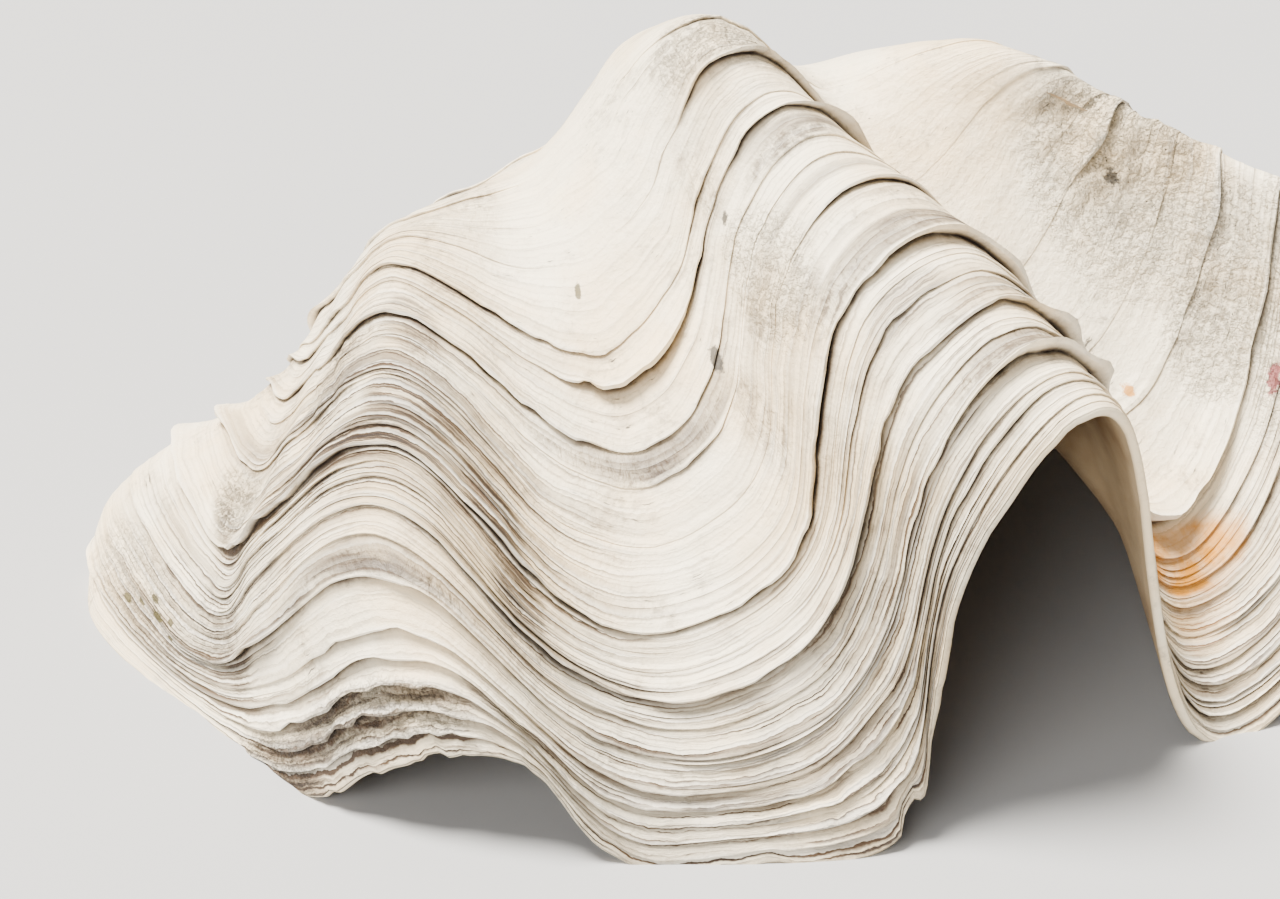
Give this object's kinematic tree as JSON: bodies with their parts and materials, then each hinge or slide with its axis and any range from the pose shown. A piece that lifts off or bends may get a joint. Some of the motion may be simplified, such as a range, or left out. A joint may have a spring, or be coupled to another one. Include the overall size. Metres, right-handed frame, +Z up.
{
  "type": "giant clam shell",
  "caption": "Single valve of a giant clam shell with deep scalloped ribs and stepped growth ledges, resting hollow side down.",
  "frame": {"origin": "on the ground, under the middle of the valve's bounding box", "axes": "+X along the length of the valve, from the small left rib to the right end of the hinge; +Y from the scalloped margin to the hinge; +Z up, out of the convex side"},
  "size_m": [0.5346, 0.3382, 0.2262],
  "materials": {
    "valve": "chalky cream shell, satin where worn"
  },
  "bodies": {
    "root": {"valve": "valve"}
  },
  "joints": []
}
